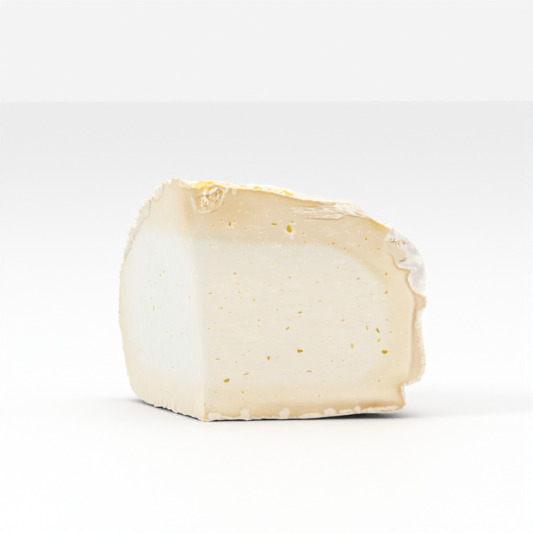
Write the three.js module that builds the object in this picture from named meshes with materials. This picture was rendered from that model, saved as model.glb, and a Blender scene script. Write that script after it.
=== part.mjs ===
// A cut portion of a small, tall, soft-ripened cheese drum: one solid with two knife-cut faces that meet at
// the front edge, and the rind of the drum all round behind them. Millimetres, +Z up, standing on z = 0.
// +X runs along the right-hand cut face, from the front edge to the rind; +Y runs back into the cheese.
import * as THREE from 'three';

// Driving dimensions
const wedgeAngle = 105 * Math.PI / 180;    // between the two cut faces, about the front edge
const edgeHeight = 66.0;                   // front cut edge, from the foot to the crown
const edgeLean = 6.9;                      // how far the crown end of that edge leans to -X
const leanPower = 1.8;                     // the lean grows towards the top, as the soft top slumps
const footX = -22.8;                       // foot of the front edge, so that the solid's box is centred
const footY = -31.3;

// Mesh density
const profileSteps = 88;                   // from the crown, down the rind, to the middle of the base
const sweepSteps = 30;                     // from the right-hand cut round to the left-hand cut
const cutSteps = 12;                       // from the front edge out to the rind
const splineSteps = 24;                    // fine samples in each span of a profile

// Rind profiles at stations round the drum, each a ring of [radius, height] landmarks from the crown to the
// middle of the base: crown, top, shoulder, side, belly, heel, base. The drum has slumped most on the left.
const stations = [
  { turn: 0.00, profile: [[0, 66.0], [17, 63.8], [33, 61.2], [44.5, 59.6], [51.8, 55.4], [57.6, 51.4],
    [61.2, 45.0], [62.4, 38.0], [62.5, 29.0], [62.0, 16.0], [60.2, 9.4], [57.4, 4.6], [52.8, 0.4], [43, 0],
    [24, 0], [0, 0]] },
  { turn: 0.08, profile: [[0, 66.0], [17, 64.3], [33, 62.0], [45.0, 59.2], [52.4, 54.8], [60.0, 50.9],
    [64.8, 45.8], [64.8, 39.0], [63.8, 30.0], [62.6, 17.0], [61.0, 9.6], [58.6, 4.4], [53.6, 0.6], [44, 0],
    [24, 0], [0, 0]] },
  { turn: 0.50, profile: [[0, 66.0], [16, 64.2], [30, 62.0], [40, 59.2], [47.6, 55.8], [54.6, 50.4],
    [59.6, 43.0], [61.8, 35.0], [62.6, 26.0], [62.0, 16.0], [60.8, 9.2], [58.2, 4.2], [53.2, 0.6], [44, 0],
    [24, 0], [0, 0]] },
  { turn: 0.85, profile: [[0, 66.0], [14, 64.2], [25, 61.0], [34.4, 57.8], [43.0, 53.2], [50.4, 48.2],
    [56.6, 41.4], [60.4, 33.6], [62.2, 25.0], [61.8, 16.0], [60.4, 9.2], [57.6, 4.2], [52.4, 0.6], [44, 0],
    [24, 0], [0, 0]] },
  { turn: 1.00, profile: [[0, 66.0], [14.0, 64.4], [23.9, 60.0], [34.3, 56.0], [41.5, 51.8], [48.1, 47.2],
    [53.9, 41.9], [58.8, 35.4], [61.8, 27.0], [61.4, 16.4], [59.4, 9.0], [56.4, 4.2], [51.2, 1.4], [44, 0.4],
    [24, 0], [0, 0]] },
];

// Dents and lumps of the rind beside a cut face: at a height, over a half-width up and down, fading with
// the distance back from that face. Push is outwards.
const rightRelief = [
  { name: 'shoulderDent', height: 45.4, halfWidth: 4.2, push: -4.8, reach: 4.4 },
  { name: 'underFold', height: 37.6, halfWidth: 2.7, push: -2.5, reach: 3.6 },
  { name: 'sideBulge', height: 32.4, halfWidth: 2.0, push: 0.6, reach: 5.0 },
  { name: 'sideNick', height: 28.2, halfWidth: 1.4, push: -1.6, reach: 3.0 },
  { name: 'heelNotch', height: 6.6, halfWidth: 2.0, push: -3.4, reach: 8.0 },
];
const leftRelief = [
  { name: 'crownLump', height: 62.3, halfWidth: 1.6, push: 0.5, reach: 4.0 },
  { name: 'upperLump', height: 56.2, halfWidth: 1.3, push: 0.9, reach: 4.0 },
  { name: 'upperNick', height: 53.0, halfWidth: 1.1, push: -0.9, reach: 3.0 },
  { name: 'bellyLump', height: 22.6, halfWidth: 3.0, push: 1.1, reach: 6.0 },
  { name: 'heelLump', height: 15.2, halfWidth: 2.2, push: 0.4, reach: 4.0 },
];
const sideStart = 20;                              // dents and lumps begin at this radius
const sideFull = 50;                               // and are whole from this one
const cutRoll = { drop: 0.9, reach: 2.4, crown: 8 };  // the knife drags the top rind down at a cut

// The base stands clear of the table under the right-hand cut: how much, from which radius to which,
// how far back from the cut, and up to which height
const baseLift = { height: 1.7, start: 14, full: 44, power: 1.5, reach: 16, top: 14 };
const baseSlope = -0.7;                            // rind facing further down than this is the base
const wrinkleFade = 6;                             // the wrinkles die out towards a cut
const wrinkles = [                                 // slow swells of the rind, each across its own direction
  { along: new THREE.Vector3(0.80, 0.50, 0.33), pitch: 21, height: 0.34 },
  { along: new THREE.Vector3(-0.35, 0.80, 0.49), pitch: 14, height: 0.26 },
  { along: new THREE.Vector3(0.50, -0.42, 0.76), pitch: 11, height: 0.22 },
  { along: new THREE.Vector3(-0.60, -0.38, 0.70), pitch: 17, height: 0.28 },
];
// Torn out of the right-hand face by the crown
const tornPocket = { x: 3.6, z: 60.8, halfWidth: 4.2, halfHeight: 3.8, depth: 1.6 };

const mix = (a, b, t) => a + (b - a) * t;
const bell = (x) => Math.exp(-x * x);
const plateau = (x) => Math.exp(-(x ** 4));
const clamp = (x) => Math.min(1, Math.max(0, x));
const smooth = (x) => clamp(x) ** 2 * (3 - 2 * clamp(x));
const leanAt = (z) => -edgeLean * Math.pow(Math.max(z, 0) / edgeHeight, leanPower);

// One landmark, blended between the stations on either side of it
function landmarkAt(index, turn) {
  let k = 0;
  while (k < stations.length - 2 && turn > stations[k + 1].turn) k++;
  const a = stations[k];
  const b = stations[k + 1];
  const t = smooth((turn - a.turn) / (b.turn - a.turn));
  const p = a.profile[index];
  const q = b.profile[index];
  return new THREE.Vector3(mix(p[0], q[0], t), 0, mix(p[1], q[1], t));
}

// The smooth profile at one turn, sampled at equal distances: radius in x, height in z
function smoothProfile(turn) {
  const points = stations[0].profile.map((_, i) => landmarkAt(i, turn));
  const curve = new THREE.CatmullRomCurve3(points, false, 'centripetal');
  curve.arcLengthDivisions = points.length * splineSteps;
  return curve.getSpacedPoints(profileSteps);
}

function reliefAt(list, height, behind) {
  return list.reduce((sum, f) => {
    const share = plateau((height - f.height) / f.halfWidth) * bell(behind / f.reach);
    return sum + f.push * share;
  }, 0);
}

function swellAt(point) {
  return wrinkles.reduce((sum, w) => {
    const phase = 2 * Math.PI * point.dot(w.along) / w.pitch;
    return sum + w.height * Math.sin(phase);
  }, 0);
}

// The rind on one profile, with dents, wrinkles, the dragged edge and the lifted base
function rindProfile(turn) {
  const angle = turn * wedgeAngle;
  const plain = smoothProfile(turn);
  return plain.map((p, i) => {
    if (i === 0 || i === profileSteps) return p.clone();
    const before = plain[i - 1];
    const after = plain[i + 1];
    const run = Math.hypot(after.x - before.x, after.z - before.z);
    const outR = (before.z - after.z) / run;
    const outZ = (after.x - before.x) / run;
    const behindRight = p.x * angle;
    const behindLeft = p.x * (wedgeAngle - angle);
    const here = new THREE.Vector3(p.x * Math.cos(angle), p.x * Math.sin(angle), p.z);

    const side = smooth((p.x - sideStart) / (sideFull - sideStart));
    const dents = side * (reliefAt(rightRelief, p.z, behindRight) + reliefAt(leftRelief, p.z, behindLeft));
    const offBase = outZ < baseSlope ? 0 : 1;
    const inland = smooth(Math.min(behindRight, behindLeft) / wrinkleFade);
    const swell = offBase * smooth(p.x / sideStart) * inland * swellAt(here);
    const onTop = smooth(outZ * 2) * smooth(p.x / cutRoll.crown);
    const roll = bell(behindRight / cutRoll.reach) + bell(behindLeft / cutRoll.reach) / 2;
    const push = dents + swell - onTop * cutRoll.drop * roll;

    const outward = clamp((p.x - baseLift.start) / (baseLift.full - baseLift.start)) ** baseLift.power;
    const low = smooth((baseLift.top - p.z) / baseLift.top);
    const lift = baseLift.height * outward * low * bell(behindRight / baseLift.reach);
    return new THREE.Vector3(p.x + outR * push, 0, Math.max(0, p.z + outZ * push + lift));
  });
}

// A point of the solid: radius and height on the profile plane at an angle, round the leaning front edge
function place(radius, angle, height) {
  return [footX + leanAt(height) + radius * Math.cos(angle), footY + radius * Math.sin(angle), height];
}

// Vertices and triangles of the portion
function portionGeometry() {
  const positions = [];
  const triangles = [];
  const add = (p) => positions.push(...p) / 3 - 1;
  const quad = (a, b, c, d) => {
    if (a !== b && b !== c && a !== c) triangles.push(a, b, c);
    if (a !== c && c !== d && a !== d) triangles.push(a, c, d);
  };
  const crown = add(place(0, 0, edgeHeight));
  const foot = add(place(0, 0, 0));
  const last = profileSteps;

  // Rind: columns are profiles, rows run from the crown to the foot
  const columns = [];
  const profiles = [];
  for (let j = 0; j <= sweepSteps; j++) {
    const turn = j / sweepSteps;
    const profile = rindProfile(turn);
    profiles.push(profile);
    columns.push(profile.map((p, i) => {
      if (i === 0) return crown;
      return i === last ? foot : add(place(p.x, turn * wedgeAngle, p.z));
    }));
  }
  for (let j = 0; j < sweepSteps; j++) {
    for (let i = 0; i < last; i++) {
      quad(columns[j][i], columns[j][i + 1], columns[j + 1][i + 1], columns[j + 1][i]);
    }
  }

  // The front edge, one vertex to each row
  const edge = [];
  for (let i = 0; i <= last; i++) {
    if (i === 0) edge.push(crown);
    else edge.push(i === last ? foot : add(place(0, 0, edgeHeight * (1 - i / last))));
  }

  // A cut face: each row runs from the front edge out to the rind
  function cutFace(profile, column, angle, flip, pocket) {
    const rows = profile.map((p, i) => {
      const row = [edge[i]];
      for (let k = 1; k < cutSteps; k++) {
        if (i === 0 || i === last) row.push(edge[i]);
        else {
          const t = k / cutSteps;
          const at = place(p.x * t, angle, mix(edgeHeight * (1 - i / last), p.z, t));
          if (pocket) {
            const across = (at[0] - footX - pocket.x) / pocket.halfWidth;
            const up = (at[2] - pocket.z) / pocket.halfHeight;
            at[1] += pocket.depth * bell(Math.hypot(across, up) ** 1.5);
          }
          row.push(add(at));
        }
      }
      row.push(column[i]);
      return row;
    });
    for (let i = 0; i < last; i++) {
      for (let k = 0; k < cutSteps; k++) {
        const loop = [rows[i][k], rows[i + 1][k], rows[i + 1][k + 1], rows[i][k + 1]];
        quad(...(flip ? loop.reverse() : loop));
      }
    }
  }
  cutFace(profiles[0], columns[0], 0, false, tornPocket);
  cutFace(profiles[sweepSteps], columns[sweepSteps], wedgeAngle, true, null);

  const geometry = new THREE.BufferGeometry();
  geometry.setAttribute('position', new THREE.Float32BufferAttribute(positions, 3));
  geometry.setIndex(triangles);
  geometry.computeVertexNormals();
  return geometry;
}

const ripenedPaste = new THREE.MeshStandardMaterial({ color: 0xede4cf, roughness: 0.6, metalness: 0 });
const wedge = new THREE.Mesh(portionGeometry(), ripenedPaste);
wedge.name = 'cheese_wedge';

const portion = new THREE.Group();
portion.add(wedge);
export default portion;
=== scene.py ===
import itertools
import math

import bpy
import numpy as np
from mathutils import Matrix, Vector
from mathutils.geometry import delaunay_2d_cdt


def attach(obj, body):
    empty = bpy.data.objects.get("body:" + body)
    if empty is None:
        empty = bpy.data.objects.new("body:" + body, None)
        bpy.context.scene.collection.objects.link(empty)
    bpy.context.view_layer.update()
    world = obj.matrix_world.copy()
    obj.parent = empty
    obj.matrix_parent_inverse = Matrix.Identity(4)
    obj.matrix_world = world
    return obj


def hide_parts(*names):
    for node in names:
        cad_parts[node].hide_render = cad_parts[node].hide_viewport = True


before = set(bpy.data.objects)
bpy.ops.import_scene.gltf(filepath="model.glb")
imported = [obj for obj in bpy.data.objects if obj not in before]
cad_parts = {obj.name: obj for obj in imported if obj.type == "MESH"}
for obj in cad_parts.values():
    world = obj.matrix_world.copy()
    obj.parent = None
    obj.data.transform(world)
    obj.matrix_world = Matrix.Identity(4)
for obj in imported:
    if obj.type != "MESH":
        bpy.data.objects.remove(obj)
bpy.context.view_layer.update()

mm = 0.001
rng = np.random.default_rng(1247)


# Small curves and noise that every shape below uses

def smooth(x):
    t = np.clip(x, 0, 1)
    return t * t * (3 - 2 * t)


def rise(x, start, width):
    return smooth((x - start) / width)


def fall(x, end, width):
    return smooth((end - x) / width)


def past(x, line, width):
    return smooth((x - line) / width + 0.5)  # half way at the line


def window(x, start, fadeIn, end, fadeOut):
    return rise(x, start, fadeIn) * fall(x, end, fadeOut)


def bell(x, middle=0, width=1):
    return np.exp(-np.square((x - middle) / width))


def plateau(x, middle, width):
    return np.exp(-((x - middle) / width) ** 4)


def mixed(a, b, t):
    return a + (b - a) * t


def pair(x, z):
    return np.stack([x, z], 1)


def readOff(rows, at):
    # the value at a place, from rows of (place, value)
    return np.interp(at, *np.array(rows).T)


def gradientNoise(points, size, seed=0):
    # lattice noise, about -1 to 1, with lumps about as wide as size
    q = np.asarray(points, float) / size + 11.7 * seed
    cell = np.floor(q).astype(np.int64)
    part = q - cell
    blend = part ** 3 * (part * (part * 6 - 15) + 10)
    total = np.zeros(len(q))
    for corner in itertools.product((0, 1), repeat=q.shape[1]):
        c = cell + np.array(corner)
        key = (c[:, 0] * 374761393 + c[:, 1] * 668265263 + seed * 974634777) & 0xFFFFFFFF
        if q.shape[1] == 3:
            key = (key + c[:, 2] * 1440662683) & 0xFFFFFFFF
        key = ((key ^ (key >> 13)) * 1274126177) & 0xFFFFFFFF
        key ^= key >> 16
        turn = (key & 0xFFFF) / 65536 * 2 * math.pi
        slope = np.stack([np.cos(turn), np.sin(turn)], 1)
        if q.shape[1] == 3:
            up = ((key >> 16) & 0xFFFF) / 32768 - 1
            slope = np.column_stack([slope * np.sqrt(1 - up ** 2)[:, None], up])
        weight = np.prod(np.where(np.array(corner) == 1, blend, 1 - blend), axis=1)
        total += weight * np.sum(slope * (part - np.array(corner)), axis=1)
    return total * 1.7


def layeredNoise(points, size, layers, seed=0):
    return sum(gradientNoise(points, size / 2 ** k, seed + 7 * k) / 2 ** k for k in range(layers))


def foldNoise(points, size, seed=0):
    # meandering ridges like a crinkled skin: 1 on a ridge, 0 between them
    points = np.asarray(points, float)
    push = [gradientNoise(points, size * 1.9, seed + 31 + k) for k in range(points.shape[1])]
    warped = points + 0.55 * size * np.stack(push, 1)
    return np.clip(1 - np.abs(gradientNoise(warped, size, seed)) * 2.6, 0, 1)


def inEllipse(x, z, cx, cz, halfWide, halfTall, tilt=0):
    # 0 in the middle of the ellipse and 1 on its rim
    a = math.radians(tilt)
    u = ((x - cx) * math.cos(a) + (z - cz) * math.sin(a)) / halfWide
    v = ((z - cz) * math.cos(a) - (x - cx) * math.sin(a)) / halfTall
    return np.hypot(u, v)


def patch(x, z, spot, soft, ragged=0, rim=1.0):
    # 1 in the middle of a spot (place, height, halves, tilt), fading to 0 at its rim
    return smooth((rim - inEllipse(x, z, *spot[:5]) - ragged) / soft)


def strongest(x, z, spots, soft, ragged=0, rim=1.0):
    # the most that any spot gives, each by its own strength, which is its last value
    return np.max([spot[5] * patch(x, z, spot, soft, ragged, rim) for spot in spots], axis=0)


# The drum and the two knife cuts, in millimetres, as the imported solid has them

drum = {
    "wedgeAngle": math.radians(105),
    "edgeHeight": 66,
    "edgeLean": 6.9,  # the crown end of the front edge leans to -X
    "leanPower": 1.8,
    "foot": (-22.8, -31.3),
    "underside": [(24, 0), (0, 0)],  # the last points of every station
    "stations": {  # share of the way round from the right-hand cut: (radius, height) from crown to base
        0.00: [(0, 66), (17, 63.8), (33, 61.2), (44.5, 59.6), (51.8, 55.4), (57.6, 51.4), (61.2, 45),
               (62.4, 38), (62.5, 29), (62, 16), (60.2, 9.4), (57.4, 4.6), (52.8, 0.4), (43, 0)],
        0.08: [(0, 66), (17, 64.3), (33, 62), (45, 59.2), (52.4, 54.8), (60, 50.9), (64.8, 45.8),
               (64.8, 39), (63.8, 30), (62.6, 17), (61, 9.6), (58.6, 4.4), (53.6, 0.6), (44, 0)],
        0.50: [(0, 66), (16, 64.2), (30, 62), (40, 59.2), (47.6, 55.8), (54.6, 50.4), (59.6, 43),
               (61.8, 35), (62.6, 26), (62, 16), (60.8, 9.2), (58.2, 4.2), (53.2, 0.6), (44, 0)],
        0.85: [(0, 66), (14, 64.2), (25, 61), (34.4, 57.8), (43, 53.2), (50.4, 48.2), (56.6, 41.4),
               (60.4, 33.6), (62.2, 25), (61.8, 16), (60.4, 9.2), (57.6, 4.2), (52.4, 0.6), (44, 0)],
        1.00: [(0, 66), (14, 64.4), (23.9, 60), (34.3, 56), (41.5, 51.8), (48.1, 47.2), (53.9, 41.9),
               (58.8, 35.4), (61.8, 27), (61.4, 16.4), (59.4, 9), (56.4, 4.2), (51.2, 1.4), (44, 0.4)],
    },
}


def leanAt(height):
    return -drum["edgeLean"] * (np.maximum(height, 0) / drum["edgeHeight"]) ** drum["leanPower"]


def place(radius, angle, height):
    # a point at a radius from the leaning front edge, in millimetres of the part's frame
    x = drum["foot"][0] + leanAt(height) + radius * np.cos(angle)
    y = drum["foot"][1] + radius * np.sin(angle)
    return np.stack(np.broadcast_arrays(x, y, height), -1)


def splineThrough(points, perSpan=24):
    # centripetal Catmull-Rom
    p = np.vstack([2 * points[0] - points[1], points, 2 * points[-1] - points[-2]])
    t = np.arange(perSpan)[:, None] / perSpan
    spans = []
    for p0, p1, p2, p3 in zip(p, p[1:], p[2:], p[3:]):
        d0, d1, d2 = (math.sqrt(np.linalg.norm(b - a)) for a, b in ((p0, p1), (p1, p2), (p2, p3)))
        m1 = ((p1 - p0) / d0 - (p2 - p0) / (d0 + d1) + (p2 - p1) / d1) * d1
        m2 = ((p2 - p1) / d1 - (p3 - p1) / (d1 + d2) + (p3 - p2) / d2) * d1
        a, b = 2 * (p1 - p2) + m1 + m2, 3 * (p2 - p1) - 2 * m1 - m2
        spans.append(((a * t + b) * t + m1) * t + p1)
    return np.vstack(spans + [points[-1:]])


def running(steps):
    return np.concatenate([[0], np.cumsum(steps)])


def evenly(curve, count):
    along = running(np.linalg.norm(np.diff(curve, axis=0), axis=1))
    at = np.linspace(0, along[-1], count)
    return np.stack([np.interp(at, along, curve[:, k]) for k in range(2)], 1)


def profileTable(turns=161, samples=901):
    # radius and height of the plain rind for each turn and each share of the way from crown to base
    keys = sorted(drum["stations"])
    table = []
    for turn in np.linspace(0, 1, turns):
        k = min(np.searchsorted(keys, turn, side="right") - 1, len(keys) - 2)
        near, far = (np.array(drum["stations"][keys[n]] + drum["underside"], float) for n in (k, k + 1))
        knots = mixed(near, far, rise(turn, keys[k], keys[k + 1] - keys[k]))
        table.append(evenly(splineThrough(knots), samples))
    return np.array(table)


plainTable = profileTable()


def plainRind(turn, share):
    # the plain rind and its outward direction in the profile plane
    def read(table):
        i = np.clip(turn, 0, 1) * (table.shape[0] - 1)
        j = np.clip(share, 0, 1) * (table.shape[1] - 1)
        i0 = np.minimum(i.astype(int), table.shape[0] - 2)
        j0 = np.minimum(j.astype(int), table.shape[1] - 2)
        a, b = (i - i0)[:, None], (j - j0)[:, None]
        near = mixed(table[i0, j0], table[i0, j0 + 1], b)
        return mixed(near, mixed(table[i0 + 1, j0], table[i0 + 1, j0 + 1], b), a)
    run = np.gradient(plainTable, axis=1)
    at, way = read(plainTable), read(run)
    way /= np.maximum(np.linalg.norm(way, axis=1), 1e-9)[:, None]
    return at[:, 0], at[:, 1], -way[:, 1], way[:, 0]


print("drum profiles ready")


# Rind: dents and lumps beside the cuts, slow swells, and the crinkled bloom

rind = {
    "tornEdge": [  # right-hand cut: height, distance from the foot of the front edge
        (52.6, 52.3), (51.7, 52), (50.9, 51.4), (50.1, 50.9), (48.4, 50.6), (46.2, 51.7), (44.6, 53.1),
        (42.9, 53.2), (41.5, 53.9),
        (41.3, 56), (40.8, 57.4), (40, 57.6), (39.2, 56.7), (37.9, 56.5), (36.3, 57), (34.9, 58.1),
        (34.1, 59.6), (33.4, 61.5), (31.8, 61.7), (30.2, 61.3), (29.3, 60.3), (28.3, 59.3), (26.9, 59.4),
        (24.2, 60), (21.4, 60.6), (19.6, 61), (15.3, 61.5), (13.1, 61.2), (11.5, 60.5), (10.1, 59.4),
        (9.2, 57.5), (8.8, 55.3), (8, 54.9), (6.6, 55.4), (4.9, 56.1), (3.8, 56), (2.7, 55.2),
    ],
    "tornReach": [(2, 12), (9, 12), (13, 6), (26, 2.2), (34, 2.6), (41, 3.4), (52, 4.4)],  # height, reach
    "leftRelief": [  # height, half-width, push outwards, reach behind the cut
        (62.3, 1.6, 0.45, 4), (60.4, 0.5, -0.35, 2.5), (58.6, 1, 0.2, 3), (56.2, 1.2, 0.9, 4),
        (53, 0.9, -0.95, 3), (50.3, 1.4, 0.35, 3), (46.4, 0.7, -0.4, 2.5), (44.6, 0.7, 0.35, 2.5),
        (40, 0.8, -0.3, 2.5), (37.4, 0.9, 0.2, 2.5), (30.4, 1.5, -0.4, 3), (22.6, 3, 1.1, 6),
        (18.4, 0.9, -0.5, 3), (15.2, 2.2, 0.4, 4), (6.6, 1.4, -0.5, 3),
    ],
    "lumps": [  # place from the foot, radius, push outwards
        ((-2.3, 1, 65.2), 2.8, -1.5), ((2.6, 1, 65.2), 2.6, 0.7), ((41.6, 3, 58.9), 4.2, 1.5),
        ((23.5, 11, 62.5), 9, -0.8), ((-1.8, 7, 65.2), 4.6, -1),
        ((-8.6, 3, 65.6), 2.6, 0.6), ((17, 0.5, 63.1), 8.5, 0.7),
    ],
    "swells": [  # direction, pitch, height
        ((0.80, 0.50, 0.33), 21, 0.34), ((-0.35, 0.80, 0.49), 14, 0.26),
        ((0.50, -0.42, 0.76), 11, 0.22), ((-0.60, -0.38, 0.70), 17, 0.28),
    ],
    "swellFade": 6,
    "foldPitch": 4.4, "foldHeight": 0.85,
    "crinklePitch": 2, "crinkleHeight": 0.30,
    "powderSize": 0.8, "powderHeight": 0.10,
    "creases": [  # on the side by the right-hand cut: behind it, height, halves, tilt, depth
        (2.6, 48.6, 0.5, 0.22, 10, 0.35), (4.2, 47.8, 0.4, 0.34, 60, 0.45), (2.2, 43.2, 1.2, 0.34, 30, 0.3),
    ],
    "greyPatches": [  # behind the right-hand cut, height, halves, tilt
        (5.2, 46.8, 2.6, 3, 0), (3.2, 40.2, 2.8, 2.8, 0), (2.4, 51.3, 1.8, 1, -35),
    ],
    "sideFrom": 40,  # the rind past this radius is the drum's side
    "ledge": (0.2, 45.8, 3.2, 3.7, 0), "beadHeight": 0.35,  # bare paste, with beads of rind along its rim
    "scuff": (2.8, 48.2, 2, 1.3, -30),
    "rollDrop": 0.9, "rollReach": 2.4,  # the knife drags the top rind down at a cut
    "liftHeight": 1.7, "liftStart": 14, "liftFull": 44, "liftPower": 1.5, "liftTop": 14, "liftReach": 16,
    "edgeLift": 0.52, "edgeLiftReach": 4.4, "toothPitch": 2.2,  # both cuts stand just clear of the table
    "rowStep": 0.44, "columnStep": 0.58, "fineStep": 0.30, "fineReach": 12,
    "baseRowStep": 0.9, "baseCoarser": 1.6,  # under the portion
    "mouldSpots": [  # along the right-hand cut from the foot, height, halves, tilt, strength
        (-6.2, 66.1, 0.8, 0.3, 0, 0.5), (-5.5, 64.5, 0.4, 0.5, 0, 0.4), (-2.8, 64.4, 0.35, 0.3, 0, 0.9),
        (-1.1, 64, 1.4, 1, 15, 0.75), (1, 64.9, 2.9, 0.45, 2, 1), (0.6, 63.9, 0.4, 0.8, -15, 1),
        (1.3, 63.1, 0.7, 0.4, -10, 1), (2.7, 63.8, 0.3, 0.7, 0, 1), (3.4, 64.3, 0.25, 0.3, 0, 0.9),
        (4.8, 63.7, 0.45, 0.75, 30, 0.8), (6.9, 64.3, 0.9, 0.45, 0, 0.45), (9.1, 64.7, 0.8, 0.28, -5, 0.8),
        (8.4, 63.7, 0.8, 0.3, 0, 0.4), (11.2, 64, 1, 0.28, -20, 0.85), (14.8, 63.4, 0.9, 0.42, 10, 1),
        (16.1, 63.1, 0.5, 0.36, 0, 0.9), (18.4, 62.9, 0.7, 0.3, 0, 0.9), (20.3, 62.6, 0.45, 0.3, 0, 0.9),
        (21.5, 62.2, 0.5, 0.3, 0, 0.8), (21.9, 63.2, 0.4, 0.3, 0, 0.8), (22.8, 62.4, 0.9, 0.36, -20, 1),
        (23.6, 61.5, 1.3, 0.4, 0, 0.9), (50.4, 53.6, 0.5, 0.4, -30, 1),
    ],
}


def reliefAt(features, height, behind):
    return sum(push * plateau(height, at, half) * bell(behind, 0, reach)
               for at, half, push, reach in features)


def mouldAt(x, z):
    # share of yellow mould on the crown's rim, from the distance along the right-hand cut and the height
    return strongest(x, z, rind["mouldSpots"], 0.3, 0.3 * layeredNoise(pair(x, z), 0.9, 3, 51), 1.15)


def liftAt(radius, height, behind):
    # the right-hand cut stands clear of the table towards the rind
    ramp = np.clip((radius - rind["liftStart"]) / (rind["liftFull"] - rind["liftStart"]), 0, 1)
    low = fall(height, rind["liftTop"], rind["liftTop"])
    return rind["liftHeight"] * ramp ** rind["liftPower"] * bell(behind, 0, rind["liftReach"]) * low


def tornShift(radius, height, behind):
    # how far the torn edge of the right-hand cut moves the rind in or out
    heights, reach = np.array(rind["tornEdge"][::-1]).T
    side = plainTable[0][plainTable[0][:, 0] > 48][::-1]
    plain = np.interp(heights, side[:, 1] + liftAt(side[:, 0], side[:, 1], 0), side[:, 0])
    lifted = height + liftAt(radius, height, 0)
    shift = np.interp(lifted, heights, reach - leanAt(heights) - plain)
    shift *= bell(behind, 0, readOff(rind["tornReach"], lifted))
    return shift * rise(radius, 46, 5) * fall(lifted, 53.5, 1.5)


def rindPoints(turn, share):
    # the place of each point of the rind, and how it looks
    angle = turn * drum["wedgeAngle"]
    r, z, outR, outZ = plainRind(turn, share)
    points = np.stack([r * np.cos(angle), r * np.sin(angle), z], 1)
    behindRight, behindLeft = r * angle, r * (drum["wedgeAngle"] - angle)
    beside = pair(behindRight, z)
    onSide = r > rind["sideFrom"]
    onTop = smooth(outZ * 2) * smooth(r / 8)
    onBase = rise(-outZ, 0.55, 0.3)
    inland = smooth(np.minimum(behindRight, behindLeft) / rind["swellFade"])
    swell = sum(h * np.sin(2 * math.pi * points @ np.array(way) / pitch) for way, pitch, h in rind["swells"])
    push = rise(r, 20, 30) * reliefAt(rind["leftRelief"], z, behindLeft)
    push += (1 - onBase) * smooth(r / 20) * inland * swell
    fromFoot = points + leanAt(z)[:, None] * (1, 0, 0)
    for at, size, height in rind["lumps"]:
        push += height * bell(np.linalg.norm(fromFoot - np.array(at), axis=1), 0, size)
    rolled = bell(behindRight, 0, rind["rollReach"]) + bell(behindLeft, 0, rind["rollReach"]) / 2
    push -= onTop * rind["rollDrop"] * rolled
    fold = foldNoise(points, rind["foldPitch"], 3) * smooth(gradientNoise(points, 15, 5) * 0.9 + 0.62)
    crinkle = foldNoise(points, rind["crinklePitch"], 9)
    calm = mixed(0.35, 1.0, smooth(behindRight / 4))  # flatter by the right-hand cut and underneath
    calm *= smooth(r / 5) * mixed(1.0, 0.25, onBase)
    push += calm * (rind["foldHeight"] * (fold - 0.35) + rind["crinkleHeight"] * (crinkle - 0.4))
    push += smooth(r / 2) * rind["powderHeight"] * layeredNoise(points, rind["powderSize"], 2, 13)
    crevice = np.zeros_like(r)
    for crease in rind["creases"]:
        pit = onSide * patch(behindRight, z, crease, 0.9, rim=1.25)
        push -= crease[5] * pit
        crevice = np.maximum(crevice, pit)
    ledge = inEllipse(behindRight, z, *rind["ledge"]) + 0.22 * gradientNoise(beside, 1.6, 19)
    bead = bell(ledge, 1.08, 0.08) * (0.7 + 1.2 * gradientNoise(beside, 0.8, 20))
    push += rind["beadHeight"] * bead * onSide * rise(behindRight, 2, 1.5)
    teeth = 0.95 + 0.7 * gradientNoise(pair(r, angle * 3), rind["toothPitch"], 17)
    byLeft, byRight = (bell(behind, 0, rind["edgeLiftReach"]) for behind in (behindLeft, behindRight))
    raised = rise(r, 1, 3) * (byLeft + byRight * fall(r, 30, 16)) * fall(z, 3, 3)
    height = np.maximum(z + outZ * push + liftAt(r, z, behindRight) + rind["edgeLift"] * teeth * raised, 0)
    radius = np.maximum(r + outR * push + tornShift(r, z, behindRight), 0)
    bare = fall(ledge, 1.0, 0.16) * onSide
    grey = np.max([patch(behindRight, z, spot, 0.6, rim=1.15) for spot in rind["greyPatches"]], axis=0)
    seen = height + 0.07 * behindRight  # the spots are laid out as seen from 4 degrees up
    yellow = mouldAt(radius * np.cos(angle) + leanAt(height), seen) * bell(behindRight, 0, 9) * (outZ > 0)
    looks = {
        # under: the downward-facing rind, which the rind material paints dark as shade so the gap under the
        # portion reads dark
        "fold": fold, "crevice": crevice, "bare": bare, "under": rise(-outZ, 0.5, 0.3),
        "grey": grey * onSide * np.clip(0.75 + 0.6 * layeredNoise(beside, 1.3, 3, 18), 0, 1),
        "scuff": patch(behindRight, z, rind["scuff"], 0.4, rim=1.1) * onSide * (1 - bare),
        "mould": yellow,
        "spotted": rise(height, 61.2, 2) * rise(behindRight, 4, 4),
        "section": 1 - np.maximum(bare, plateau(z, 49.4, 2.6) * (behindRight < 0.2) * onSide),
    }
    return place(radius, angle, height), pair(radius, height), looks


def spread(length, scale):
    # places along a row: fine beside both cuts, coarse between them
    d = np.linspace(0, length, max(int(length * 8), 8))
    inland = smooth(np.minimum(d, length - d) / rind["fineReach"])
    step = mixed(rind["fineStep"] * scale, rind["columnStep"] * scale, inland)
    count = running(np.diff(d) / ((step[1:] + step[:-1]) / 2))
    pieces = max(int(round(count[-1])), 1)
    return np.interp(np.linspace(0, count[-1], pieces + 1), count, d) / length


def shares():
    # rows from crown to base, coarser once they are underneath
    middle = plainTable[plainTable.shape[0] // 2]
    along = running(np.linalg.norm(np.diff(middle, axis=0), axis=1))
    low = (middle[:, 0] < 50) & (middle[:, 1] < 5)
    step = np.where(low, rind["baseRowStep"], rind["rowStep"])
    count = running(np.diff(along) / step[1:])
    return np.interp(np.linspace(0, count[-1], int(round(count[-1])) + 1), count, along / along[-1])


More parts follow.
